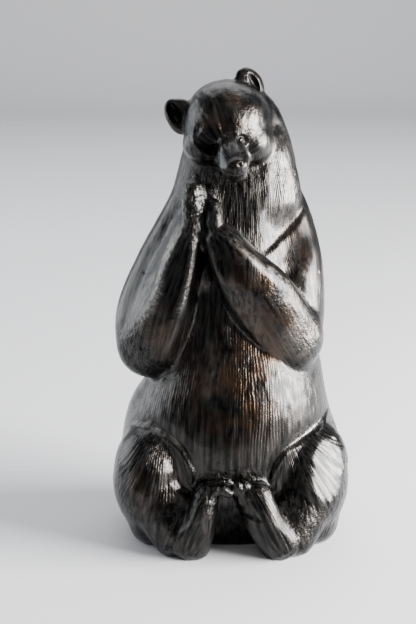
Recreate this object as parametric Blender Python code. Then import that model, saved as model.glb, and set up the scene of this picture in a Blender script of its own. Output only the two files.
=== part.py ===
"""A seated bear with its head tilted onto its joined forepaws: a small statue cast in one piece.

The figure is built up the way it would be in clay: broad masses first, then the limbs, then the
paws, ears and face, each layer fused into one skin and smoothed less than the last. The modelled
lines are pressed in at the end, the base is cut flat, and the mesh is thinned to a light solid.

Places and sizes of the forms are in shares of the figure's height, 250 to the whole, and the
finished skin is brought to STATUE_HEIGHT. +X is the statue's left, the viewer's right. It faces -Y
and stands on z = 0, with the origin under the middle of its outline.
"""

import math

import bmesh
import bpy
import numpy as np
from mathutils import Euler, Matrix, Vector

STATUE_HEIGHT = 0.250  # table to the tip of the upper ear, in metres
STATUE_WIDTH = 0.1266  # across the haunches
STATUE_DEPTH = 0.1155  # toes to tail

FINGER = 3.0  # radii of the digits, in shares of the height
RIGHT_TOE = 3.6
LEFT_TOE = 3.4
EYE_SOCKET = 4.0
EYE = 1.9

RING_SIDES = 36
STEPS_BETWEEN = 6  # rings from one section of a form to the next
FRONT = (0, -1, 0)
HEAD_ROLL = -20  # degrees about Y: the crown leans to the statue's right


def spline(points, steps):
    """Rows of values run smoothly through the given rows, with some steps between each two."""
    rows = np.array(points, float)
    rows = np.vstack([2 * rows[0] - rows[1], rows, 2 * rows[-1] - rows[-2]])
    out = []
    for before, start, end, after in zip(rows, rows[1:], rows[2:], rows[3:]):
        for t in np.arange(steps) / steps:
            out.append(
                0.5
                * (
                    2 * start
                    + (end - before) * t
                    + (2 * before - 5 * start + 4 * end - after) * t**2
                    + (3 * start - before - 3 * end + after) * t**3
                )
            )
    out.append(rows[-2])
    return np.array(out)


def sweep(sections, facing=FRONT, caps=(0.8, 0.8)):
    """A closed limb through sections (x, y, z, half width, half depth), its depth turned to facing.

    caps are the lengths of the rounded ends, as shares of each end's half depth.
    """
    rows = spline(sections, STEPS_BETWEEN)
    tangents = np.gradient(rows[:, :3], axis=0)
    tangents /= np.linalg.norm(tangents, axis=1)[:, None]
    near, far = rows[0].copy(), rows[-1].copy()
    for angle in np.radians([30, 55, 75]):
        if caps[0]:
            reach = near[4] * caps[0] * math.sin(angle)
            place = near[:3] - tangents[0] * reach
            rows = np.vstack([np.append(place, near[3:] * math.cos(angle)), rows])
        if caps[1]:
            reach = far[4] * caps[1] * math.sin(angle)
            place = far[:3] + tangents[-1] * reach
            rows = np.vstack([rows, np.append(place, far[3:] * math.cos(angle))])
    extra = [3 if cap else 0 for cap in caps]
    tangents = np.pad(tangents, (extra, (0, 0)), "edge")
    form = bmesh.new()
    rings = []
    for row, tangent in zip(rows, tangents):
        along = Vector(tangent)
        deep = Vector(facing) - along * along.dot(Vector(facing))
        deep.normalize()
        wide = along.cross(deep)
        ring = []
        for k in range(RING_SIDES):
            turn = math.tau * k / RING_SIDES
            place = Vector(row[:3]) + wide * row[3] * math.cos(turn) + deep * row[4] * math.sin(turn)
            ring.append(form.verts.new(place))
        rings.append(ring)
    for lower, upper in zip(rings, rings[1:]):
        for k in range(RING_SIDES):
            n = (k + 1) % RING_SIDES
            form.faces.new((lower[k], lower[n], upper[n], upper[k]))
    form.faces.new(rings[0][::-1])
    form.faces.new(rings[-1])
    return finished(form)


def ball(centre, radii, turn=(0, 0, 0)):
    """An ellipsoid, turned by degrees about X, Y and Z."""
    form = bmesh.new()
    bmesh.ops.create_uvsphere(form, u_segments=32, v_segments=20, radius=1)
    matrix = (
        Matrix.Translation(centre)
        @ Euler([math.radians(a) for a in turn]).to_matrix().to_4x4()
        @ Matrix.Diagonal((*radii, 1))
    )
    form.transform(matrix)
    return finished(form)


def finished(form):
    """The bmesh as a mesh, its faces turned outwards."""
    bmesh.ops.recalc_face_normals(form, faces=form.faces)
    mesh = bpy.data.meshes.new("form")
    form.to_mesh(mesh)
    form.free()
    return mesh


def evaluated(mesh, *modifiers):
    """The mesh after some modifiers, each a type and a dict of its settings."""
    obj = bpy.data.objects.new("working", mesh)
    bpy.context.scene.collection.objects.link(obj)
    for kind, settings in modifiers:
        modifier = obj.modifiers.new(kind.title(), kind)
        for name, value in settings.items():
            setattr(modifier, name, value)
    graph = bpy.context.evaluated_depsgraph_get()
    made = bpy.data.meshes.new_from_object(obj.evaluated_get(graph))
    bpy.data.objects.remove(obj)
    return made


def fuse(forms, voxel, rounds):
    """Overlapping closed forms as one skin, smoothed."""
    joined = bmesh.new()
    for form in forms:
        joined.from_mesh(form)
    mesh = bpy.data.meshes.new("joined")
    joined.to_mesh(mesh)
    joined.free()
    return evaluated(
        mesh,
        ("REMESH", {"mode": "VOXEL", "voxel_size": voxel, "adaptivity": 0.0}),
        ("SMOOTH", {"factor": 0.5, "iterations": rounds}),
    )


def torso():
    """The pear of the body, up through the neck to the nape."""
    return sweep(
        [
            (1, 10, -6, 49, 38),
            (1, 9, 8, 55, 43),
            (1, 7, 24, 60, 47),
            (1, 4, 42, 60, 50),
            (1.5, 2, 60, 57.5, 51),
            (3, 1, 76, 51, 49),
            (3.5, 2, 90, 46.5, 46),
            (1, 4, 108, 43, 42),
            (0, 5, 128, 41, 39),
            (2, 5, 150, 40, 35),
            (3, 5, 168, 37, 30),
            (4, 5, 186, 33.5, 25.5),
            (4.5, 6, 200, 31, 21.5),
            (4, 7.5, 214, 27.5, 17),
            (3, 6.5, 226, 23, 16),
            (1.5, 5, 236, 16, 13),
        ],
        caps=(0, 0.4),
    )


def masses():
    """The broad forms that flow into each other."""
    right_upper_arm = [
        (-17, 4, 192, 9, 11),
        (-25, 2, 168, 13, 15),
        (-34.5, -4, 145, 16, 17),
        (-42, -9, 122, 18, 17),
        (-42.5, -14, 105, 17.5, 16),
    ]
    left_upper_arm = [
        (23, 6, 192, 11, 13),
        (29, 3, 170, 15, 17),
        (34, -3, 145, 16, 18),
        (34, -9, 120, 16.5, 17),
        (33, -14, 107, 15, 15),
    ]
    right_arm_web = [
        (-22, -26, 170, 8, 14),
        (-27.5, -24, 150, 11.5, 15),
        (-33.5, -22, 130, 15, 15),
        (-39, -19, 108, 18.5, 15),
    ]
    return [
        torso(),
        ball((-1.5, -4, 222), (23, 26, 22.5), (0, HEAD_ROLL, 0)),
        sweep(right_upper_arm),
        sweep(left_upper_arm),
        sweep(right_arm_web),
        ball((-38.5, -8, 33), (23.5, 42, 32), (0, 0, -8)),
        ball((40, -8, 33), (24, 42, 33), (0, 0, 8)),
        ball((-40, -18, 11), (15, 22, 15)),
        ball((45, -17, 11), (15, 22, 15)),
        ball((1, 48, 17), (10, 8.5, 13)),
        sweep([(-12, -22, 145, 7, 12), (-13.5, -24, 165, 6.5, 12), (-14, -24, 184, 5.5, 11)]),
    ]


def limbs():
    """Forearms, knees, shins, cheeks, brow and muzzle."""
    right_forearm = [
        (-38, -21, 108, 17, 14),
        (-33.5, -26, 121, 14.5, 13.5),
        (-28.5, -32, 138, 11.5, 11),
        (-23.5, -35.5, 155, 9, 9),
        (-19, -37, 169.5, 7, 7.5),
        (-17.8, -36, 182, 5.2, 7),
    ]
    left_forearm = [
        (32.5, -19, 106, 16.5, 14),
        (26.5, -26, 118, 18.5, 14),
        (15.5, -34, 137, 17.8, 12.5),
        (5, -40, 152, 14, 11),
        (-1.2, -41.5, 162.5, 11, 9.5),
        (-5.6, -41, 169.5, 9, 8.5),
    ]
    right_shin = [(-38, -28, 38, 17, 17), (-34, -37, 23, 15.5, 14), (-27, -43, 9, 13, 12)]
    left_shin = [(41, -28, 38, 17, 17), (38, -37, 23, 15, 14), (32, -43, 9, 13, 12)]
    muzzle = [
        (-0.8, -14, 217, 9.8, 8),
        (0.1, -24, 213.8, 8.5, 7.5),
        (1.2, -34, 209.8, 8.3, 7),
        (2.1, -41, 206.4, 8, 6.2),
        (2.4, -44.8, 204.8, 6.8, 5.2),
    ]
    jaw = [
        (1.4, -18, 206, 9, 8),
        (2.2, -33, 202.4, 7, 5.4),
        (2.5, -41, 200.6, 5.6, 4.2),
    ]
    mane = [
        (15, 5, 222, 9, 10),
        (19, 2, 207, 13, 14),
        (20, -2, 190, 17, 15.5),
        (20, -4, 174, 17.5, 16),
        (20, -3, 158, 15, 12),
    ]
    return [
        sweep(right_forearm),
        sweep(left_forearm),
        ball((-41, -15, 107), (18.5, 15, 18.5)),
        ball((33, -20, 112.5), (16.5, 17, 19)),
        ball((-39.5, -19, 40.5), (21.5, 29, 25.5), (0, 0, -8)),
        ball((42, -18, 40), (21, 29, 26.5), (0, 12, 8)),
        sweep(right_shin),
        sweep(left_shin),
        ball((-25.5, -42, 20), (9, 10, 15)),
        ball((28, -41, 19), (8.5, 9.5, 13)),
        sweep(muzzle, facing=(0.34, 0, -0.94)),
        sweep(jaw, facing=(0, 0, -1)),
        ball((-12, -12, 213), (12.5, 14, 11.5), (0, HEAD_ROLL, 0)),
        ball((10.5, -11, 213.5), (11.8, 14, 12), (0, HEAD_ROLL, 0)),
        ball((-10.6, -23.5, 218.8), (6.5, 4.5, 3.5), (0, HEAD_ROLL - 12, 0)),
        ball((4.4, -23.5, 223.6), (6.5, 4.5, 3.5), (0, HEAD_ROLL + 12, 0)),
        sweep(mane, caps=(0.5, 0.6)),
    ]


def digits(paths, radius):
    """Toes or fingers, each along its own path and slimmer at the tip."""
    forms = []
    for path in paths:
        shares = np.linspace(1, 0.72, len(path))
        forms.append(sweep([(*place, radius * k, radius * k) for place, k in zip(path, shares)]))
    return forms


def extremities():
    """Paws, feet, ears, nose and eyes."""
    right_foot = [
        (-21.5, -46, 8, 12.5, 11),
        (-15.8, -49, 18, 9.2, 10.5),
        (-13.6, -49, 28, 7.6, 10),
        (-12, -48, 35.5, 7, 9),
    ]
    right_toes = [
        [(-12, y, 34), (-9.5, y, 40 - drop), (-4, y, 41.3 - drop), (0.3, y, 39 - drop)]
        for y, drop in ((-53, 2), (-49.2, 0.6), (-45.4, 0.2), (-41.8, 0.8))
    ]
    left_foot = [
        (27.5, -46, 8, 12.5, 11),
        (19.5, -49, 18, 10.5, 9.5),
        (14.6, -49, 28, 10.8, 8.2),
        (11.8, -48, 35.5, 10.2, 7.2),
    ]
    left_toes = [
        [(x + 2, y + 1, 33), (x + 0.8, y, 38), (x - 0.8, y - 1.4, top - 3)]
        for x, y, top in ((4.6, -51.5, 44.7), (8.8, -50.3, 44.3), (13, -48, 43), (16.6, -45, 41.5))
    ]
    right_paw = [
        (-17.4, -36.5, 173, 5.4, 7),
        (-17.6, -36.5, 184, 6.2, 8.5),
        (-17.8, -35, 191.5, 5.6, 7.5),
    ]
    right_fingers = [
        [(-17.4, y, 185), (-18, y + 0.8, 192), (-17, y + 2.2, 197 + lift)]
        for y, lift in ((-40.7, -2), (-37.2, 0.5), (-33.7, 1), (-30.4, 0))
    ]
    left_paw = [
        (-7.6, -38.5, 169, 4.8, 7.5),
        (-9, -39, 176, 5.2, 8.4),
        (-9.3, -37.5, 183, 4.8, 7),
    ]
    left_fingers = [
        [(-9, y, 177), (-8.8, y + 0.8, 182.5), (-10.4, y + 2.2, 187 + lift)]
        for y, lift in ((-42.3, -2), (-38.8, 0), (-35.3, 0.5), (-32, 0))
    ]
    return [
        sweep(right_foot),
        *digits(right_toes, RIGHT_TOE),
        sweep(left_foot, facing=(-0.5, -0.86, 0)),
        *digits(left_toes, LEFT_TOE),
        sweep(right_paw, facing=(-0.4, -0.9, 0)),
        *digits(right_fingers, FINGER),
        sweep(left_paw, facing=(0.3, -0.95, 0)),
        *digits(left_fingers, FINGER),
        ball((10.4, 1, 240.9), (10.3, 4.5, 7.3), (0, 53, 28)),
        ball((-26.7, -3.5, 224.9), (10.2, 4.3, 6.4), (0, 63, -6)),
        ball((-25.5, -2.5, 230), (6, 3.8, 4.5)),
        ball((2.3, -48.6, 207.2), (4.6, 2.8, 2.6), (0, HEAD_ROLL, 0)),
    ]


def vertex_arrays(mesh):
    """Places and normals of a mesh's vertices."""
    places = np.empty(len(mesh.vertices) * 3)
    mesh.vertices.foreach_get("co", places)
    normals = np.empty(len(mesh.vertices) * 3)
    mesh.vertex_normals.foreach_get("vector", normals)
    return places.reshape(-1, 3), normals.reshape(-1, 3)


def put_places(mesh, places):
    mesh.vertices.foreach_set("co", places.ravel())
    mesh.update()


def press(mesh, centre, radii, turn, push):
    """Presses an ellipsoidal tool into the skin along the push direction."""
    places, normals = vertex_arrays(mesh)
    basis = np.array(Euler([math.radians(a) for a in turn]).to_matrix()) * np.array(radii)
    inverse = np.linalg.inv(basis)
    local = (places - centre) @ inverse.T
    aim = inverse @ np.array(Vector(push).normalized())
    inside = (local**2).sum(1) < 1
    p = local[inside]
    a = aim @ aim
    b = p @ aim
    c = (p**2).sum(1) - 1
    travel = (np.sqrt(b**2 - a * c) - b) / a
    places[inside] += travel[:, None] * np.array(Vector(push).normalized())
    put_places(mesh, places)


def flatten(mesh, centre, facing, radius):
    """Planes a rounded place off softly, down to a centre, as wide as the radius all round."""
    places, normals = vertex_arrays(mesh)
    facing = np.array(facing) / np.linalg.norm(facing)
    away = places - centre
    over = away @ facing
    wide = np.linalg.norm(away - over[:, None] * facing, axis=1)
    cut = (over + np.sqrt(over**2 + 2)) / 2 * np.exp(-((wide / radius) ** 4)) * 0.85
    put_places(mesh, places - cut[:, None] * facing)


def spot(mesh, x, z, radius, height):
    """Raises a soft round spot on the front, or sinks it where the height is negative."""
    places, normals = vertex_arrays(mesh)
    away = np.hypot(places[:, 0] - x, places[:, 2] - z) / radius
    strength = np.exp(-(away**4)) * np.clip(-normals[:, 1] * 3, 0, 1)
    put_places(mesh, places + normals * (height * strength)[:, None])


def along(places, path):
    """How far each place is from a line drawn on the front, on which side, and where along it."""
    line = spline(path, 5)
    flat = places[:, [0, 2]]
    nearest = np.full(len(flat), 1e9)
    side = np.zeros(len(flat))
    share = np.zeros(len(flat))
    for k, (start, end) in enumerate(zip(line, line[1:])):
        run = end - start
        t = np.clip((flat - start) @ run / (run @ run), 0, 1)
        away = flat - (start + t[:, None] * run)
        distance = np.hypot(*away.T)
        closer = distance < nearest
        cross = run[0] * away[:, 1] - run[1] * away[:, 0]
        side[closer] = np.sign(cross[closer]) * distance[closer]
        share[closer] = (k + t[closer]) / (len(line) - 1)
        nearest[closer] = distance[closer]
    return nearest, side, share


def score(mesh, path, depth, width, step=0, fade=4):
    """A line modelled on the front: a groove, or a ridge where the depth is negative, and a step
    down from the left of the line to its right. It dies away at both ends."""
    places, normals = vertex_arrays(mesh)
    distance, side, share = along(places, path)
    strength = np.clip(-normals[:, 1] * 3, 0, 1) * np.clip(5 * np.minimum(share, 1 - share), 0, 1)
    offset = -depth * np.exp(-((distance / width) ** 2))
    offset += step / 2 * np.tanh(side / (width * 0.8)) * np.exp(-((distance / fade) ** 2))
    put_places(mesh, places + normals * (offset * strength)[:, None])


def model_lines(mesh):
    """Ear cups, arm ridges, thigh creases, the mane's edge, brow, mouth and sole."""
    flatten(mesh, (50.7, -40.7, 42), (0.57, -0.81, 0.14), 24)
    press(mesh, (13.6, -4.5, 243), (2.6, 5, 6.8), (0, -33, 28), (-0.55, 0.8, -0.15))
    press(mesh, (-28.7, -7.6, 227.2), (3.3, 4.6, 6.6), (0, -27, 0), (0.25, 1, 0))
    thigh = {"depth": 0.8, "width": 1.4, "step": 2.4, "fade": 5}
    score(mesh, [(-19, 36), (-18.3, 46), (-23.5, 57), (-31, 63.5), (-39, 65), (-50, 62)], **thigh)
    score(mesh, [(56, 71), (46, 64.5), (37, 60.5), (27.5, 55), (21.6, 45), (20.5, 35)], **thigh)
    score(mesh, [(41, 180), (35, 171), (29.9, 166), (22.9, 160.3), (16, 155)], 0.5, 2.2, step=-2, fade=7)
    score(mesh, [(21, 208), (20.5, 195), (20, 182), (16, 165)], 0, 3.5, step=-2.6, fade=16)
    score(mesh, [(-12, 174.5), (1.9, 167), (12, 157), (20, 149), (28, 141)], -0.7, 2.8)
    score(mesh, [(-9, 163), (-6.5, 154), (2.1, 134), (13.5, 116.8), (23, 104)], -1.0, 2.6)
    score(mesh, [(-21, 181), (-29, 165), (-33.7, 153), (-38, 138), (-54, 111)], -2.0, 3)
    score(mesh, [(-18.8, 174), (-19.2, 158), (-23, 139), (-32, 106)], -1.1, 2.6)
    score(mesh, [(-2, 213), (-4.7, 224), (-8, 234)], 0.7, 1.0)
    score(mesh, [(-4.6, 203.6), (-0.8, 202), (2.8, 201.8), (6, 202.8), (9.4, 205.4)], 0.8, 0.8)
    score(mesh, [(3, 25), (9.5, 25.8), (17, 24)], 1.2, 1)
    score(mesh, [(-15, 225), (-17.7, 221.7), (-18.2, 216), (-15.2, 211), (-10, 206.5)], -0.7, 1.4)
    for x, z in ((5.5, 216.2), (-9, 211)):
        spot(mesh, x, z, EYE_SOCKET, -1.3)
        spot(mesh, x, z, EYE, 1.6)


def thinned(mesh, triangles):
    """The skin with fewer, larger faces."""
    mesh.calc_loop_triangles()
    share = min(1, triangles / len(mesh.loop_triangles))
    return evaluated(mesh, ("DECIMATE", {"ratio": share}))


def cut_base(mesh):
    """Cuts the figure off flat at z = 0 and closes the cut."""
    form = bmesh.new()
    form.from_mesh(mesh)
    bmesh.ops.bisect_plane(
        form,
        geom=[*form.verts, *form.edges, *form.faces],
        plane_co=(0, 0, 0),
        plane_no=(0, 0, 1),
        clear_inner=True,
    )
    bmesh.ops.holes_fill(form, edges=[e for e in form.edges if e.is_boundary], sides=0)
    form.to_mesh(mesh)
    form.free()


def bronze():
    """Nearly black, glossily lacquered bronze."""
    material = bpy.data.materials.new("dark bronze")
    material.use_nodes = True
    shader = material.node_tree.nodes["Principled BSDF"]
    shader.inputs["Base Color"].default_value = (0.045, 0.032, 0.022, 1)
    shader.inputs["Roughness"].default_value = 0.28
    shader.inputs["Metallic"].default_value = 0.7
    return material


def fit(mesh, size):
    """Brings the figure to its real size, standing on z = 0 with its outline centred."""
    places, normals = vertex_arrays(mesh)
    low, high = places.min(0), places.max(0)
    middle = np.array([(low[0] + high[0]) / 2, (low[1] + high[1]) / 2, low[2]])
    put_places(mesh, (places - middle) * np.array(size) / (high - low))


def bear():
    """The whole figure at its real size."""
    skin = fuse(masses(), voxel=1.7, rounds=22)
    skin = fuse([skin, *limbs()], voxel=1.2, rounds=7)
    skin = fuse([skin, *extremities()], voxel=0.9, rounds=2)
    model_lines(skin)
    skin = thinned(skin, triangles=9600)
    cut_base(skin)
    fit(skin, (STATUE_WIDTH, STATUE_DEPTH, STATUE_HEIGHT))
    skin.shade_smooth()
    skin.set_sharp_from_angle(angle=math.radians(60))
    skin.materials.append(bronze())
    obj = bpy.data.objects.new("bear", skin)
    bpy.context.scene.collection.objects.link(obj)


def main():
    for obj in list(bpy.data.objects):
        bpy.data.objects.remove(obj)
    bear()


main()
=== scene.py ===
import math

import bpy
import numpy as np
from mathutils import Euler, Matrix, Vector, noise


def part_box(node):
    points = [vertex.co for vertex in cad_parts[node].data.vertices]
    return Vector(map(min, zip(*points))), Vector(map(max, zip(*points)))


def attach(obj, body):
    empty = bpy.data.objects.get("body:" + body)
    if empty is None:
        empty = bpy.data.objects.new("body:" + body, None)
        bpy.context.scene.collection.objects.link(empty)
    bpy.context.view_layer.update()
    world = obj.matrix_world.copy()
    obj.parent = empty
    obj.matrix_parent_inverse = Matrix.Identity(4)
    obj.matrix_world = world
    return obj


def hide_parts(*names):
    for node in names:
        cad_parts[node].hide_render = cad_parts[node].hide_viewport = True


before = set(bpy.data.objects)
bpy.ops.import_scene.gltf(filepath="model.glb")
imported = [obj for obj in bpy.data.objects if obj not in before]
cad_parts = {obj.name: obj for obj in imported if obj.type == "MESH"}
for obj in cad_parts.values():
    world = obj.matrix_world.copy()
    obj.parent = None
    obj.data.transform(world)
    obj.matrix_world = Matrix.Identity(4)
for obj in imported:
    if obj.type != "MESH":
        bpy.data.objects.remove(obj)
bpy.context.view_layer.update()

# The studio
# A plain pale floor that curves up into a pale backdrop, one large soft window to the viewer's
# right and a narrower one to the left, and a camera a little above the bear, looking down at it.

AIM = Vector((-0.0122, -0.0008, 0.1209))
CAMERA_DISTANCE = 0.8
CAMERA_PITCH = math.radians(14)
SENSOR = 36
FOCAL_LENGTH = SENSOR * 1500 / 624
FLOOR_SIZE = 3
FLOOR_MIDDLE = 1.3
COVE_RADIUS = 0.8


def turn_to(obj, place, aim):
    """Puts a camera or a lamp at a place, facing what it is aimed at."""
    obj.location = place
    obj.rotation_euler = (Vector(aim) - Vector(place)).to_track_quat("-Z", "Y").to_euler()


def window(name, place, aim, size, power, tint=(1, 1, 1)):
    """A soft rectangular light."""
    bpy.ops.object.light_add(type="AREA")
    lamp = bpy.context.object
    lamp.name = name
    lamp.data.shape = "RECTANGLE"
    lamp.data.size, lamp.data.size_y = size
    lamp.data.energy = power
    lamp.data.color = tint
    turn_to(lamp, place, aim)


bpy.ops.object.select_all(action="DESELECT")
bpy.ops.mesh.primitive_plane_add(size=FLOOR_SIZE, location=(0, FLOOR_MIDDLE, 0))
floor = bpy.context.object
floor.name = "studio_floor"
bpy.ops.object.mode_set(mode="EDIT")
bpy.ops.mesh.select_mode(type="EDGE")
bpy.ops.mesh.select_all(action="DESELECT")
bpy.ops.object.mode_set(mode="OBJECT")
for edge in floor.data.edges:
    edge.select = all(floor.data.vertices[v].co.y > FLOOR_MIDDLE for v in edge.vertices)
bpy.ops.object.mode_set(mode="EDIT")
bpy.ops.mesh.extrude_region_move(TRANSFORM_OT_translate={"value": (0, 0, FLOOR_SIZE)})
bpy.ops.object.mode_set(mode="OBJECT")
curve_up = floor.modifiers.new("cove", "BEVEL")
curve_up.width = COVE_RADIUS
curve_up.segments = 12
bpy.ops.object.modifier_apply(modifier=curve_up.name)
bpy.ops.object.shade_smooth()

pale = bpy.data.materials.new("pale_backdrop")
pale.use_nodes = True
pale.node_tree.nodes["Principled BSDF"].inputs["Base Color"].default_value = (0.6, 0.6, 0.61, 1)
pale.node_tree.nodes["Principled BSDF"].inputs["Roughness"].default_value = 0.9
pale.node_tree.nodes["Principled BSDF"].inputs["Specular IOR Level"].default_value = 0.1
floor.data.materials.append(pale)

air = bpy.data.worlds.new("studio_air")
air.use_nodes = True
air.node_tree.nodes["Background"].inputs["Color"].default_value = (0.80, 0.84, 0.92, 1)
air.node_tree.nodes["Background"].inputs["Strength"].default_value = 0.25
bpy.context.scene.world = air

window("window_right", (1.0, -0.27, 0.28), (0, 0, 0.12), (0.9, 0.52), 135)
window("window_left", (-0.62, -0.95, 0.5), (0, 0, 0.13), (0.06, 0.3), 0.4)
window("side_left", (-0.98, 0.33, 0.32), (0, 0, 0.12), (1.0, 0.85), 12, (0.9, 0.95, 1))
window("ceiling", (0.0, 0.9, 1.5), (0, 0, 0.1), (2.0, 1.4), 24, (0.95, 0.97, 1))
window("ceiling_front", (0.0, -1.1, 1.5), (0, 0, 0.1), (2.0, 1.2), 6, (1, 0.97, 0.93))
window("backdrop_light", (0, 0.9, 1.7), (0, 2.4, 0.2), (1.6, 0.4), 15)

bpy.ops.object.camera_add()
camera = bpy.context.object
camera.data.sensor_width = SENSOR
camera.data.lens = FOCAL_LENGTH
back = Vector((0, -math.cos(CAMERA_PITCH), math.sin(CAMERA_PITCH)))
turn_to(camera, AIM + back * CAMERA_DISTANCE, AIM)
bpy.context.scene.camera = camera

# The bear
# One hollow bronze casting, patinated nearly black and lacquered glossy. The sculptor built it up
# in clay: broad masses, then limbs, then paws, ears and face, with the fur combed in at the end,
# and the casting kept those strokes. Its places are in 250ths of the figure's height.

FRONT = (0, -1, 0)
HEAD_ROLL = -20
RING_SIDES = 36


def spline(points, steps):
    """Rows of values run smoothly through the given rows, with some steps between each two."""
    rows = np.array(points, float)
    rows = np.vstack([2 * rows[0] - rows[1], rows, 2 * rows[-1] - rows[-2]])
    t = (np.arange(steps) / steps)[:, None]
    out = []
    for before, start, end, after in zip(rows, rows[1:], rows[2:], rows[3:]):
        bend = 2 * before - 5 * start + 4 * end - after
        twist = 3 * start - before - 3 * end + after
        out.append(0.5 * (2 * start + (end - before) * t + bend * t**2 + twist * t**3))
    return np.vstack([*out, rows[-2:-1]])


def limb(sections, facing=FRONT, caps=(0.8, 0.8)):
    """A closed limb through sections, each x, y, z, half width and half depth, the depth turned
    to facing."""
    rows = spline(sections, 6)
    runs = np.gradient(rows[:, :3], axis=0)
    runs /= np.linalg.norm(runs, axis=1)[:, None]
    near, far = rows[0].copy(), rows[-1].copy()
    for angle in np.radians([30, 55, 75]):
        if caps[0]:
            place = near[:3] - runs[0] * near[4] * caps[0] * math.sin(angle)
            rows = np.vstack([np.append(place, near[3:] * math.cos(angle)), rows])
        if caps[1]:
            place = far[:3] + runs[-1] * far[4] * caps[1] * math.sin(angle)
            rows = np.vstack([rows, np.append(place, far[3:] * math.cos(angle))])
    runs = np.pad(runs, ([3 if cap else 0 for cap in caps], (0, 0)), "edge")
    deep = np.array(facing) - runs * (runs @ np.array(facing))[:, None]
    deep /= np.linalg.norm(deep, axis=1)[:, None]
    wide = np.cross(runs, deep)
    turns = np.arange(RING_SIDES) * math.tau / RING_SIDES
    rings = (
        rows[:, None, :3]
        + wide[:, None] * rows[:, None, 3:4] * np.cos(turns)[None, :, None]
        + deep[:, None] * rows[:, None, 4:5] * np.sin(turns)[None, :, None]
    )
    last = RING_SIDES * (len(rows) - 1)
    faces = []
    for ring in range(0, last, RING_SIDES):
        for k in range(RING_SIDES):
            after = (k + 1) % RING_SIDES
            above = ring + RING_SIDES
            faces.append((ring + k, ring + after, above + after, above + k))
    faces += [tuple(range(RING_SIDES))[::-1], tuple(range(last, last + RING_SIDES))]
    mesh = bpy.data.meshes.new("limb")
    mesh.from_pydata(rings.reshape(-1, 3).tolist(), [], faces)
    obj = bpy.data.objects.new("limb", mesh)
    bpy.context.collection.objects.link(obj)
    return obj


def ball(centre, radii, turn=(0, 0, 0)):
    """A pellet of clay: an ellipsoid, turned by degrees about X, Y and Z."""
    bpy.ops.mesh.primitive_uv_sphere_add(
        segments=32,
        ring_count=20,
        radius=1,
        location=centre,
        rotation=[math.radians(a) for a in turn],
        scale=radii,
    )
    return bpy.context.object


def fuse(forms, voxel, rounds):
    """Overlapping closed forms worked into one skin and smoothed."""
    bpy.ops.object.select_all(action="DESELECT")
    for form in forms:
        form.select_set(True)
    bpy.context.view_layer.objects.active = forms[0]
    bpy.ops.object.join()
    skin = bpy.context.object
    bpy.ops.object.transform_apply(location=True, rotation=True, scale=True)
    bpy.ops.object.mode_set(mode="EDIT")
    bpy.ops.mesh.select_all(action="SELECT")
    bpy.ops.mesh.normals_make_consistent(inside=False)
    bpy.ops.object.mode_set(mode="OBJECT")
    knit = skin.modifiers.new("knit", "REMESH")
    knit.mode = "VOXEL"
    knit.voxel_size = voxel
    bpy.ops.object.modifier_apply(modifier=knit.name)
    thumb = skin.modifiers.new("thumb", "SMOOTH")
    thumb.iterations = rounds
    bpy.ops.object.modifier_apply(modifier=thumb.name)
    return skin


# Its broad masses: the pear of the body, the cranium, the upper arms, the haunches and a stub tail.

torso = [
    (1, 10, -6, 49, 38),
    (1, 9, 8, 55, 43),
    (1, 7, 24, 60, 47),
    (1, 4, 42, 60, 50),
    (1.5, 2, 60, 57.5, 51),
    (3, 1, 76, 51, 49),
    (3.5, 2, 90, 46.5, 46),
    (1, 4, 108, 43, 42),
    (0, 5, 128, 41, 39),
    (2, 5, 150, 40, 35),
    (3, 5, 168, 37, 30),
    (4, 5, 186, 33.5, 25.5),
    (4.5, 6, 200, 31, 21.5),
    (4, 7.5, 214, 27.5, 17),
    (3, 6.5, 226, 23, 16),
    (1.5, 5, 236, 16, 13),
]
right_upper_arm = [
    (-17, 4, 192, 9, 11),
    (-25, 2, 168, 13, 15),
    (-34.5, -4, 145, 16, 17),
    (-42, -9, 122, 18, 17),
    (-42.5, -14, 105, 17.5, 16),
]
left_upper_arm = [
    (23, 6, 192, 11, 13),
    (29, 3, 170, 15, 17),
    (34, -3, 145, 16, 18),
    (34, -9, 120, 16.5, 17),
    (33, -14, 107, 15, 15),
]
right_arm_web = [
    (-22, -26, 170, 8, 14),
    (-27.5, -24, 150, 11.5, 15),
    (-33.5, -22, 130, 15, 15),
    (-39, -19, 108, 18.5, 15),
]
masses = [
    limb(torso, caps=(0, 0.4)),
    ball((-1.5, -4, 222), (23, 26, 22.5), (0, HEAD_ROLL, 0)),
    limb(right_upper_arm),
    limb(left_upper_arm),
    limb(right_arm_web),
    ball((-38.5, -8, 33), (23.5, 42, 32), (0, 0, -8)),
    ball((40, -8, 33), (24, 42, 33), (0, 0, 8)),
    ball((-40, -18, 11), (15, 22, 15)),
    ball((45, -17, 11), (15, 22, 15)),
    ball((1, 48, 17), (10, 8.5, 13)),
    limb([(-12, -22, 145, 7, 12), (-13.5, -24, 165, 6.5, 12), (-14, -24, 184, 5.5, 11)]),
]
bear = fuse(masses, voxel=1.7, rounds=22)

# Its limbs: forearms, elbows, knees, shins, muzzle, jaw, cheeks, brows and the mane on the neck.

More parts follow.
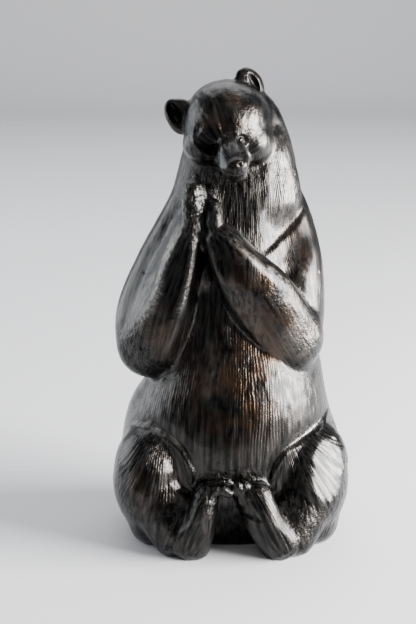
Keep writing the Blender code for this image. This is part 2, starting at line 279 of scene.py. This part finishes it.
right_forearm = [
    (-38, -21, 108, 17, 14),
    (-33.5, -26, 121, 14.5, 13.5),
    (-28.5, -32, 138, 11.5, 11),
    (-23.5, -35.5, 155, 9, 9),
    (-19, -37, 169.5, 7, 7.5),
    (-17.8, -36, 182, 5.2, 7),
]
left_forearm = [
    (32.5, -19, 106, 16.5, 14),
    (26.5, -26, 118, 18.5, 14),
    (15.5, -34, 137, 17.8, 12.5),
    (5, -40, 152, 14, 11),
    (-1.2, -41.5, 162.5, 11, 9.5),
    (-5.6, -41, 169.5, 9, 8.5),
]
right_shin = [(-38, -28, 38, 17, 17), (-34, -37, 23, 15.5, 14), (-27, -43, 9, 13, 12)]
left_shin = [(41, -28, 38, 17, 17), (38, -37, 23, 15, 14), (32, -43, 9, 13, 12)]
muzzle = [
    (-0.8, -14, 217, 6.5, 8),
    (0.1, -24, 213.8, 6.6, 7.2),
    (1.2, -34, 209.8, 7.6, 7),
    (2.1, -41, 206.4, 7.8, 6.2),
    (2.4, -44.8, 204.8, 6.6, 5.2),
]
jaw = [
    (1.4, -18, 206, 9, 8),
    (2.2, -33, 202.4, 7, 5.4),
    (2.5, -41, 200.6, 5.6, 4.2),
]
mane = [
    (15, 5, 222, 9, 10),
    (19, 2, 207, 13, 14),
    (20, -2, 190, 17, 15.5),
    (20, -4, 174, 17.5, 16),
    (20, -3, 158, 15, 12),
]
limbs = [
    limb(right_forearm),
    limb(left_forearm),
    ball((-41, -15, 107), (18.5, 15, 18.5)),
    ball((33, -20, 112.5), (16.5, 17, 19)),
    ball((-39.5, -19, 40.5), (21.5, 29, 25.5), (0, 0, -8)),
    ball((42, -18, 40), (21, 29, 26.5), (0, 12, 8)),
    limb(right_shin),
    limb(left_shin),
    ball((-25.5, -42, 20), (9, 10, 15)),
    ball((28, -41, 19), (8.5, 9.5, 13)),
    limb(muzzle, facing=(0.34, 0, -0.94)),
    limb(jaw, facing=(0, 0, -1)),
    ball((-12, -12, 213), (12.5, 14, 11.5), (0, HEAD_ROLL, 0)),
    ball((10.5, -11, 213.5), (11.8, 14, 12), (0, HEAD_ROLL, 0)),
    ball((-10.6, -23, 219.3), (6.5, 4, 4), (0, HEAD_ROLL - 12, 0)),
    ball((4.4, -23, 224.1), (6.5, 4, 4), (0, HEAD_ROLL + 12, 0)),
    limb(mane, caps=(0.5, 0.6)),
]
bear = fuse([bear, *limbs], voxel=1.2, rounds=7)

# Its extremities: paws with their fingers, feet with their toes, ears and nose.

RIGHT_TOE = 3.6
LEFT_TOE = 3.4
FINGER = 3.0


def digits(paths, radius):
    """Toes or fingers, each along its own path and slimmer at the tip."""
    forms = []
    for path in paths:
        shares = np.linspace(1, 0.72, len(path))
        forms.append(limb([(*place, radius * k, radius * k) for place, k in zip(path, shares)]))
    return forms


right_foot = [
    (-21.5, -46, 8, 12.5, 11),
    (-15.8, -49, 18, 9.2, 10.5),
    (-13.6, -49, 28, 7.6, 10),
    (-12, -48, 35.5, 7, 9),
]
right_toes = [
    [(-12, y, 34), (-9.5, y, 40 - drop), (-4, y, 41.3 - drop), (0.3, y, 39 - drop)]
    for y, drop in ((-53, 2), (-49.2, 0.6), (-45.4, 0.2), (-41.8, 0.8))
]
left_foot = [
    (27.5, -46, 8, 12.5, 11),
    (19.5, -49, 18, 10.5, 9.5),
    (14.6, -49, 28, 10.8, 8.2),
    (11.8, -48, 35.5, 10.2, 7.2),
]
left_toes = [
    [(x + 2, y + 1, 33), (x + 0.8, y, 38), (x - 0.8, y - 1.4, top - 3)]
    for x, y, top in ((4.6, -51.5, 44.7), (8.8, -50.3, 44.3), (13, -48, 43), (16.6, -45, 41.5))
]
right_paw = [
    (-17.4, -36.5, 173, 5.4, 7),
    (-17.6, -36.5, 184, 6.2, 8.5),
    (-17.8, -35, 191.5, 5.6, 7.5),
]
right_fingers = [
    [(-17.4, y, 185), (-18, y + 0.8, 192), (-17, y + 2.2, 197 + lift)]
    for y, lift in ((-40.7, -2), (-37.2, 0.5), (-33.7, 1), (-30.4, 0))
]
left_paw = [
    (-7.6, -38.5, 169, 4.8, 7.5),
    (-9, -39, 176, 5.2, 8.4),
    (-9.3, -37.5, 183, 4.8, 7),
]
left_fingers = [
    [(-9, y, 177), (-8.8, y + 0.8, 182.5), (-10.4, y + 2.2, 187 + lift)]
    for y, lift in ((-42.3, -2), (-38.8, 0), (-35.3, 0.5), (-32, 0))
]
extremities = [
    limb(right_foot),
    *digits(right_toes, RIGHT_TOE),
    limb(left_foot, facing=(-0.5, -0.86, 0)),
    *digits(left_toes, LEFT_TOE),
    limb(right_paw, facing=(-0.4, -0.9, 0)),
    *digits(right_fingers, FINGER),
    limb(left_paw, facing=(0.3, -0.95, 0)),
    *digits(left_fingers, FINGER),
    ball((10.4, 1, 240.9), (10.3, 4.5, 7.3), (0, 53, 28)),
    ball((-26.7, -3.5, 224.9), (10.2, 4.3, 6.4), (0, 63, -6)),
    ball((-25.5, -2.5, 230), (6, 3.8, 4.5)),
    ball((2.3, -48.2, 206.9), (4.4, 2.4, 2.6), (0, HEAD_ROLL, 0)),
]
bear = fuse([bear, *extremities], voxel=0.85, rounds=2)

# The face, ears, paws and feet are modelled finer than the rest.


def spots(places, centres):
    """For each place, how deep it lies in the nearest of some round spots, 1 at its centre."""
    depth = np.zeros(len(places))
    for centre, radius in centres:
        away = np.linalg.norm(places - np.array(centre), axis=1) / radius
        depth = np.maximum(depth, 1 - away)
    return depth


def vertex_arrays(mesh):
    """Places and normals of a mesh's vertices."""
    places = np.empty(len(mesh.vertices) * 3)
    mesh.vertices.foreach_get("co", places)
    normals = np.empty(len(mesh.vertices) * 3)
    mesh.vertex_normals.foreach_get("vector", normals)
    return places.reshape(-1, 3), normals.reshape(-1, 3)


def put_places(mesh, places):
    mesh.vertices.foreach_set("co", places.ravel())
    mesh.update()


fine = [
    ((0, -30, 214), 27),
    ((12, -2, 243), 13),
    ((-28, -4, 227), 12),
    ((-14, -38, 190), 15),
    ((-7, -52, 38), 17),
    ((12, -54, 36), 17),
]
centres = np.empty(len(bear.data.polygons) * 3)
bear.data.polygons.foreach_get("center", centres)
chosen = spots(centres.reshape(-1, 3), fine) > 0
bpy.ops.object.mode_set(mode="EDIT")
bpy.ops.mesh.select_mode(type="FACE")
bpy.ops.mesh.select_all(action="DESELECT")
bpy.ops.object.mode_set(mode="OBJECT")
bear.data.polygons.foreach_set("select", chosen)
bpy.ops.object.mode_set(mode="EDIT")
bpy.ops.mesh.subdivide(number_cuts=1)
bpy.ops.mesh.vertices_smooth(factor=0.5, repeat=2)
bpy.ops.object.mode_set(mode="OBJECT")

# The modelled lines: ear cups, ridges along the arms, thigh creases, the mane's edge and the face.


def press(centre, radii, turn, push):
    """Presses a round-ended tool into the skin along the push direction."""
    places = vertex_arrays(bear.data)[0]
    push = np.array(Vector(push).normalized())
    basis = np.array(Euler([math.radians(a) for a in turn]).to_matrix()) * np.array(radii)
    inverse = np.linalg.inv(basis)
    local = (places - centre) @ inverse.T
    aim = inverse @ push
    inside = (local**2).sum(1) < 1
    p = local[inside]
    b = p @ aim
    travel = (np.sqrt(b**2 - (aim @ aim) * ((p**2).sum(1) - 1)) - b) / (aim @ aim)
    places[inside] += travel[:, None] * push
    put_places(bear.data, places)


def flatten(centre, facing, radius):
    """Planes a rounded place off softly, down to a centre, as wide as the radius all round."""
    places = vertex_arrays(bear.data)[0]
    facing = np.array(facing) / np.linalg.norm(facing)
    away = places - centre
    over = away @ facing
    wide = np.linalg.norm(away - over[:, None] * facing, axis=1)
    cut = (over + np.sqrt(over**2 + 2)) / 2 * np.exp(-((wide / radius) ** 4)) * 0.85
    put_places(bear.data, places - cut[:, None] * facing)


def spot(x, z, radius, height):
    """Raises a soft round spot on the front, or sinks it where the height is below 0."""
    places, normals = vertex_arrays(bear.data)
    away = np.hypot(places[:, 0] - x, places[:, 2] - z) / radius
    strength = np.exp(-(away**4)) * np.clip(-normals[:, 1] * 3, 0, 1)
    put_places(bear.data, places + normals * (height * strength)[:, None])


def along(places, path):
    """How far each place is from a line drawn on the front, on which side, and where along it."""
    line = spline(path, 5)
    flat = places[:, [0, 2]]
    nearest = np.full(len(flat), 1e9)
    side = np.zeros(len(flat))
    share = np.zeros(len(flat))
    for k, (start, end) in enumerate(zip(line, line[1:])):
        run = end - start
        t = np.clip((flat - start) @ run / (run @ run), 0, 1)
        away = flat - (start + t[:, None] * run)
        distance = np.hypot(*away.T)
        closer = distance < nearest
        cross = run[0] * away[:, 1] - run[1] * away[:, 0]
        side[closer] = np.sign(cross[closer]) * distance[closer]
        share[closer] = (k + t[closer]) / (len(line) - 1)
        nearest[closer] = distance[closer]
    return nearest, side, share


def score(path, depth, width, step=0, fade=4):
    """A line on the front: a groove, or a ridge where the depth is below 0, and a step down from
    the left of the line to its right. It dies away at both ends."""
    places, normals = vertex_arrays(bear.data)
    distance, side, share = along(places, path)
    strength = np.clip(-normals[:, 1] * 3, 0, 1) * np.clip(5 * np.minimum(share, 1 - share), 0, 1)
    offset = -depth * np.exp(-((distance / width) ** 2))
    offset += step / 2 * np.tanh(side / (width * 0.8)) * np.exp(-((distance / fade) ** 2))
    put_places(bear.data, places + normals * (offset * strength)[:, None])


flatten((50.5, -40.2, 46), (0.53, -0.78, 0.32), 24)
flatten((35, -13.5, 163), (0.22, -0.94, 0.25), 14)
press((13.6, -4.5, 243), (2.6, 5, 6.8), (0, -33, 28), (-0.55, 0.8, -0.15))
press((-28.7, -7.6, 227.2), (3.3, 4.6, 6.6), (0, -27, 0), (0.25, 1, 0))
thigh = {"depth": 0.8, "width": 1.2, "step": 2.4, "fade": 5}
score([(-19, 36), (-18.3, 46), (-23.5, 57), (-31, 63.5), (-39, 65), (-50, 62)], **thigh)
score([(56, 71), (46, 64.5), (37, 60.5), (27.5, 55), (21.6, 45), (20.5, 35)], **thigh)
score([(41, 180), (35, 171), (29.9, 166), (22.9, 160.3), (16, 155)], 0, 1.5, step=1.6, fade=5)
score([(21, 208), (20.5, 195), (20, 182), (16, 165)], 0, 3.5, step=-2.6, fade=16)
score([(-12, 174.5), (1.9, 167), (12, 157), (20, 149), (28, 141)], -0.7, 2.8)
score([(-9, 163), (-6.5, 154), (2.1, 134), (13.5, 116.8), (23, 104)], -1.0, 2.6)
score([(-21, 181), (-29, 165), (-33.7, 153), (-38, 138), (-54, 111)], -1.8, 2.4)
score([(-18.8, 174), (-19.2, 158), (-23, 139), (-32, 106)], -1.1, 2.6)
score([(-2, 213), (-4.7, 224), (-8, 234)], 0.7, 1.0)
score([(-4.6, 203.6), (-0.8, 202), (2.8, 201.8), (6, 202.8), (9.4, 205.4)], 0.5, 0.7)
score([(3, 25), (9.5, 25.8), (17, 24)], 1.2, 0.9)
score([(-15, 225), (-17.7, 221.7), (-18.2, 216), (-15.2, 211), (-10, 206.5)], -0.7, 1.4)

# Eyes in their sockets, eyelids and nostrils, then the glints and the groove of the nose.

BETWEEN_EYES = np.array((-1.75, 213.6))
NOSE_TIP = np.array((2.4, 206.3))
EYE_HALF_GAP = 7.7
NOSTRIL_HALF_GAP = 2
LID_HEIGHT = 0.5
LOWER_LID = [(-3.6, -1), (-3, 1.4), (-1.1, 3.4), (0.9, 4), (3.2, 3)]
UPPER_LID = [(-2.8, -2), (-0.6, -3), (1.8, -2.6), (3.6, -0.6)]
for side in (1, -1):
    across, down = np.array((0.942, 0.336)) * side, np.array((0.336, -0.942))
    eye = BETWEEN_EYES + across * EYE_HALF_GAP
    spot(*eye, 3, -1.8)
    spot(*eye, 1.1, 0.9)
    for lid in (LOWER_LID, UPPER_LID):
        score([eye + across * a + down * d for a, d in lid], -LID_HEIGHT, 0.7)
    spot(*(NOSE_TIP + across * NOSTRIL_HALF_GAP), 1.1, -0.6)
spot(5.5, 206.7, 0.9, 0.4)
spot(-1.6, 206.1, 0.9, 0.4)
score([(2.5, 205), (2.8, 202)], 0.5, 0.5)

# The fur: combed grooves that run down the body, along the arms, out over the knees and back from
# the nose. Each place takes the lay of the form it is nearest to, and each form is given by its two
# ends, its radius at each, the depth and length of its strokes, and how much of it is chased.

BLEND = 14
RAKE_PITCH = 2.3
FORMS = {
    "body": ((1, 4, 20), (4, 5, 195), 58, 30, 0.11, 45, 1),
    "head": ((-1.5, -2, 221), (0.5, -28, 213), 24, 12, 0.2, 5, 0.35),
    "nose": ((1.5, -36, 209), (2.8, -48, 205), 8, 7, 0.05, 5, 0.1),
    "right_upper_arm": ((-22, 3, 172), (-42, -12, 108), 14, 19, 0.04, 25, 0.2),
    "left_upper_arm": ((27, 4, 172), (34, -12, 110), 15, 17, 0.16, 22, 1),
    "right_forearm": ((-18.5, -37, 176), (-38, -22, 105), 8, 18, 0.08, 20, 0.6),
    "left_forearm": ((-6, -40, 174), (31, -20, 108), 8, 18, 0.08, 20, 0.6),
    "right_haunch": ((-38, -4, 34), (-38, -26, 40), 33, 27, 0.2, 30, 1),
    "left_haunch": ((40, -4, 34), (41, -26, 40), 33, 27, 0.36, 30, 1),
    "right_foot": ((-22, -48, 8), (-8, -48, 40), 12, 8, 0.1, 9, 0.5),
    "left_foot": ((27, -48, 8), (11, -49, 40), 12, 9, 0.1, 9, 0.5),
    "right_paw": ((-18, -37, 180), (-18.5, -36, 200), 7, 6, 0.12, 9, 0.8),
    "left_paw": ((-8, -39, 174), (-9, -38, 192), 7, 6, 0.16, 12, 0.8),
}


def nearest_form(places):
    """The number of the form that each place is nearest to, and its shares of all forms."""
    closeness = []
    for start, end, first, last, *_ in FORMS.values():
        start, run = np.array(start, float), np.subtract(end, start)
        t = np.clip((places - start) @ run / (run @ run), 0, 1)
        away = np.linalg.norm(places - start - t[:, None] * run, axis=1)
        closeness.append(away / (first + (last - first) * t))
    closeness = np.array(closeness)
    shares = np.exp(-BLEND * (closeness - closeness.min(0)))
    return closeness.argmin(0), shares / shares.sum(0)


def lay(places, name):
    """Coordinates of the fur on a form: round it, out from it, and along the hair."""
    start, end, first, last, *_ = FORMS[name]
    if name in ("head", "nose"):
        x, y, z = (places - (2.5, -52, 205)).T
        return np.stack([np.arctan2(x, z) * 17, y * 0.25, np.hypot(np.hypot(x, y), z)], 1)
    if name.endswith("haunch"):
        x, y, z = (places - ((26, -30, 76) if name[0] == "l" else (-31, -30, 80))).T
        return np.stack([np.arctan2(x, -z) * 36, y, np.hypot(x, z)], 1)
    run = np.subtract(start, end) / np.linalg.norm(np.subtract(start, end))
    side = np.cross(run, (0, 1, 0.2))
    side /= np.linalg.norm(side)
    off = places - np.array(start)
    round_x, round_y = off @ side, off @ np.cross(run, side)
    reach = np.hypot(round_x, round_y)
    return np.stack([np.arctan2(round_x, round_y) * (first + last) / 2, reach, off @ run], 1)


def ripple(rows):
    """Smooth noise between -1 and 1 at each row."""
    return np.array([noise.noise(Vector(row)) for row in rows])


places, normals = vertex_arrays(bear.data)
form, shares = nearest_form(places)
strand = np.zeros_like(places)
comb = np.zeros(len(places))
for k, (name, (*_, stroke_depth, stroke_length, _)) in enumerate(FORMS.items()):
    strand[form == k] = lay(places[form == k], name)
    touched = np.flatnonzero(shares[k] > 0.02)
    rows = lay(places[touched], name)
    drift = ripple(rows / (7, 7, 30))
    rake = np.sin((rows[:, 0] + 2.4 * drift) * math.tau / RAKE_PITCH) * np.clip(drift + 0.2, 0, 1)
    strokes = ripple(rows / (1.7, 1.7, stroke_length))
    strokes += ripple(rows / (4.5, 4.5, stroke_length) + 40)
    depth = np.clip(0.45 * rake + 0.8 * strokes, -1.3, 1.3) * stroke_depth
    comb[touched] += shares[k][touched] * depth
sure = np.clip((shares.max(0) - 0.55) / 0.35, 0, 1)
sure *= np.array([chased for *_, chased in FORMS.values()])[form]

# Where the casting is coarse: sparkling lumps on the feet, paws, cheeks, an ear and the elbows, and
# along the two crests of its right forearm.

OUTER_CREST = [(-21, 180), (-29, 165), (-33.7, 153), (-37.5, 139), (-43, 128), (-53, 112)]
INNER_CREST = [(-19, 174), (-19, 158), (-23, 139), (-27, 127)]
COARSE = [
    ((-9, -52, 40), 13, 1.0),
    ((10, -50, 44), 9, 0.7),
    ((-24, -50, 8), 14, 0.6),
    ((31, -46, 10), 14, 0.9),
    ((42, -40, 22), 13, 0.8),
    ((-19, -42, 188), 11, 1.0),
    ((-17, -24, 222), 9, 0.5),
    ((8, -28, 222), 9, 0.2),
    ((7, -1, 240), 8, 0.8),
    ((3, -48, 202), 5, 0.6),
    ((40, -30, 118), 15, 0.8),
    ((24, -44, 142), 9, 0.7),
    ((-47, -26, 106), 15, 0.8),
    ((2, -22, 232), 12, 0.3),
]


def patches(places, centres):
    """Soft round patches, each strongest at its centre."""
    return sum(
        strength * np.exp(-(((places - centre) / radius) ** 2).sum(1))
        for centre, radius, strength in centres
    )


coarse = patches(places, COARSE)
for line, strength in ((OUTER_CREST, 1.0), (INNER_CREST, 0.6)):
    coarse += strength * np.exp(-((along(places, line)[0] / 2.6) ** 2)) * (normals[:, 1] < -0.2)
lumps = ripple(places / 5)
grain = ripple(places / 1.5)
relief = comb + 0.12 * lumps + (0.03 + 0.32 * coarse) * grain
underside = places[:, 2] < 1.5
relief[underside] = 0
put_places(bear.data, places + normals * relief[:, None])

# Casting beads, and pits where the height is below 0.

BEAD_RADIUS = 0.8
for x, z, height in (
    (-50, 117, -0.8),
    (-46, 108, 0.7),
    (-38, 98, -0.8),
    (-30, 99, -0.7),
    (-44, 146, -0.6),
    (-43, 142, -0.6),
    (-42, 92, 0.8),
    (52, 30, 0.8),
    (17, 148, 0.8),
):
    spot(x, z, BEAD_RADIUS, height * 0.6)

# Hands have rubbed the bronze warm on the forehead, the brow, the arms and the belly. Lighter metal
# is also painted along the two edges of its right forearm, down the mane, at the left elbow and at
# the creases of its thighs: partly bronze rubbed bare, partly a painted highlight.

RUBBED = [
    ((0, -25, 234), 10, 0.6),
    ((-6, -30, 222), 7, 0.7),
    ((3, -50, 207), 6, 0.3),
    ((34, -12, 160), 12, 0.6),
    ((10, -45, 145), 16, 0.7),
    ((22, -38, 118), 15, 0.8),
    ((-36, -35, 118), 9, 0.7),
    ((-2, -45, 96), 20, 1.0),
    ((6, -46, 74), 16, 0.5),
    ((-38, -48, 44), 14, 0.4),
]
rub = patches(places, RUBBED)
edges = np.zeros(len(places))
for line, strength, width in (
    (OUTER_CREST, 1.0, 1.7),
    (INNER_CREST, 0.7, 1.3),
    ([(21, 216), (25, 202), (28, 187), (27, 172), (22, 160)], 0.3, 6),
    ([(28, 124), (36, 114), (41, 102)], 0.3, 8),
    ([(-42, 65), (-31, 63.5), (-25, 59)], 0.7, 0.9),
    ([(52, 68), (46, 65), (37, 61), (30, 57)], 0.7, 0.9),
):
    distance, side, share = along(places, line)
    ends = np.clip(5 * np.minimum(share, 1 - share), 0, 1)
    edges += strength * np.exp(-((distance / width) ** 2)) * ends * (normals[:, 1] < -0.2)

# The casting is made matte, and its colour is painted very dark as shade, in the eye sockets, under
# the nose, in the ear cups, at the throat, on the left shoulder, on the sole and at a few more
# places. The glints of one eye and of the nose are kept out of it.

DULL_PAINTED_SHADE = [
    (5.7, 216.2, 2.8, 1.0),
    (-9.5, 211.3, 3.6, 0.9),
    (2.1, 206.2, 2.8, 0.7),
    (-27, 227, 5, 0.5),
    (12, 243, 4, 0.5),
    (0, 20, 8, 0.5),
    (43, 160, 10, 0.95),
    (25, 18, 6, 0.6),
    (-22, 222, 6, 0.4),
    (6, 182, 13, 0.6),
    (24, 58, 7, 0.3),
    (5.3, 216.4, 0.8, -1.0),
    (5.5, 206.7, 0.9, -0.7),
    (-1.6, 206.1, 0.9, -0.7),
]
dull = patches(places[:, [0, 2]], [((x, z), radius, strength) for x, z, radius, strength in DULL_PAINTED_SHADE])
dull *= normals[:, 1] < 0.1

lay_of_hair = bear.data.attributes.new("strand", "FLOAT_VECTOR", "POINT")
lay_of_hair.data.foreach_set("vector", strand.ravel())
for name, values in (
    ("comb", comb),
    ("sure", sure),
    ("rub", rub),
    ("dull", np.clip(dull, 0, 1)),
    ("edges", edges),
    ("coarse", coarse),
):
    bear.data.attributes.new(name, "FLOAT", "POINT").data.foreach_set("value", values)

# The skin is thinned to its last count of triangles, and the seat is cut flat.

TRIANGLES = 196000
bear.data.calc_loop_triangles()
thin = bear.modifiers.new("thin", "DECIMATE")
thin.ratio = min(1, TRIANGLES / len(bear.data.loop_triangles))
bpy.ops.object.modifier_apply(modifier=thin.name)
bpy.ops.object.mode_set(mode="EDIT")
bpy.ops.mesh.select_all(action="SELECT")
bpy.ops.mesh.bisect(plane_co=(0, 0, 0), plane_no=(0, 0, 1), use_fill=True, clear_inner=True)
bpy.ops.object.mode_set(mode="OBJECT")

# The figure at its real size.

low, high = np.array(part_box("bear"))
places = vertex_arrays(bear.data)[0]
span = places.max(0) - places.min(0)
put_places(bear.data, low + (places - places.min(0)) * (high - low) / span)
bpy.ops.object.shade_smooth()
bpy.ops.object.shade_smooth_by_angle(angle=math.radians(75))
bear.name = "bear_casting"

# Its skin: bronze patinated almost black, rubbed warm where hands reach it, under glossy lacquer,
# with a painted highlight along some edges and painted shade at some places.


class Wire:
    """A socket whose sums and products add the nodes that work them out."""

    def __init__(self, tree, socket):
        self.tree = tree
        self.socket = socket

    def node(self, kind, settings=(), inputs=(), output=0):
        """Adds a node by its type, settings and the values or links of its sockets."""
        made = self.tree.nodes.new(kind)
        for name, value in dict(settings).items():
            setattr(made, name, value)
        for name, value in dict(inputs).items():
            if isinstance(value, Wire):
                self.tree.links.new(value.socket, made.inputs[name])
            else:
                made.inputs[name].default_value = value
        return Wire(self.tree, made.outputs[output])

    def math(self, operation, first, second=0.0):
        return self.node("ShaderNodeMath", {"operation": operation}, {0: first, 1: second})

    def __add__(self, other):
        return self.math("ADD", self, other)

    def __sub__(self, other):
        return self.math("SUBTRACT", self, other)

    def __rsub__(self, other):
        return self.math("SUBTRACT", other, self)

    def __mul__(self, other):
        return self.math("MULTIPLY", self, other)

    __radd__ = __add__
    __rmul__ = __mul__

    def sine(self):
        return self.math("SINE", self)

    def clipped(self):
        return self.node("ShaderNodeClamp", {}, {"Value": self})

    def tinted(self, dark, light):
        """A colour from dark to light as this value goes from 0 to 1."""
        ends = [end if isinstance(end, Wire) else (*end, 1) for end in (dark, light)]
        sockets = {0: self, 6: ends[0], 7: ends[1]}
        return self.node("ShaderNodeMix", {"data_type": "RGBA"}, sockets, output=2)

    def drawn_out(self, shares):
        """A vector made longer or shorter along each axis."""
        return self.node("ShaderNodeVectorMath", {"operation": "MULTIPLY"}, {0: self, 1: shares})

    def cloud(self, scale, detail):
        """Soft noise between 0 and 1 at this vector."""
        sockets = {"Vector": self, "Scale": scale, "Detail": detail}
        return self.node("ShaderNodeTexNoise", {}, sockets)


DEEP_PATINA = (0.002, 0.002, 0.002)
PATINA = (0.034, 0.031, 0.028)
WARM_BRONZE = (0.062, 0.034, 0.019)
# Lighter metal: partly rubbed bare, partly a painted highlight.
BARE_EDGE_AND_HIGHLIGHT = (0.16, 0.15, 0.14)
# A very dark colour painted as shade.
PAINTED_SHADE_BLACK = (0.001, 0.001, 0.001)
FINEST_BUMP = 0.0005

bronze = bpy.data.materials.new("lacquered_dark_bronze")
bronze.use_nodes = True
skin = bronze.node_tree.nodes["Principled BSDF"]
start = Wire(bronze.node_tree, None)
coordinates = start.node("ShaderNodeTexCoord", output=3)
hair = start.node("ShaderNodeAttribute", {"attribute_name": "strand"}, output=1)
groove, certain, rubbed, bare_and_highlight, rough, black = [
    start.node("ShaderNodeAttribute", {"attribute_name": name}, output=2)
    for name in ("comb", "sure", "rub", "edges", "coarse", "dull")
]
mottle = coordinates.cloud(90.0, 3.0)
speck = coordinates.cloud(900.0, 3.0)
flecks = coordinates.cloud(420.0, 2.0)
fine_hair = hair.drawn_out((0.85, 0.85, 0.05)).cloud(1.0, 2.0)
streaks = hair.drawn_out((0.55, 0.55, 0.035)).cloud(1.0, 2.0)
wobble = hair.drawn_out((0.12, 0.12, 0.03)).cloud(1.0, 1.0)
round_it = start.node("ShaderNodeSeparateXYZ", {}, {"Vector": hair})
rake = (round_it * 4.6 + wobble * 14).sine() * wobble
warm = (rubbed * (mottle * 2.2 - 0.8) + groove * rubbed * 3.0).clipped()
shade = ((streaks - 0.5) * 4.0 + 0.45).clipped().tinted(DEEP_PATINA, PATINA)
shade = warm.tinted(shade, WARM_BRONZE)
# Lighter metal along the forearm crests, the mane, an elbow and the thigh creases: partly rubbed
# bare, partly a painted highlight.
shade = (bare_and_highlight * (flecks * 2.4 - 0.4)).clipped().tinted(shade, BARE_EDGE_AND_HIGHLIGHT)
# Painted shade: very dark where the casting is made matte.
shade = black.tinted(shade, PAINTED_SHADE_BLACK)
height = (fine_hair - 0.5) * certain * 0.5 + rake * certain * 0.18
height = height + speck * (rough * 1.2 + 0.25) + flecks * rough * 0.9
bump_sockets = {"Height": height, "Strength": 1.0, "Distance": FINEST_BUMP}
bumps = start.node("ShaderNodeBump", {}, bump_sockets)
for name, value in {
    "Base Color": shade,
    "Roughness": 0.27 + mottle * 0.12 + black * 0.3,
    "Coat Weight": 0.25 - black * 0.24,
    "Normal": bumps,
}.items():
    bronze.node_tree.links.new(value.socket, skin.inputs[name])
skin.inputs["Metallic"].default_value = 1.0
skin.inputs["Coat Roughness"].default_value = 0.2
bear.data.materials.clear()
bear.data.materials.append(bronze)
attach(bear, "root")
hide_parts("bear")
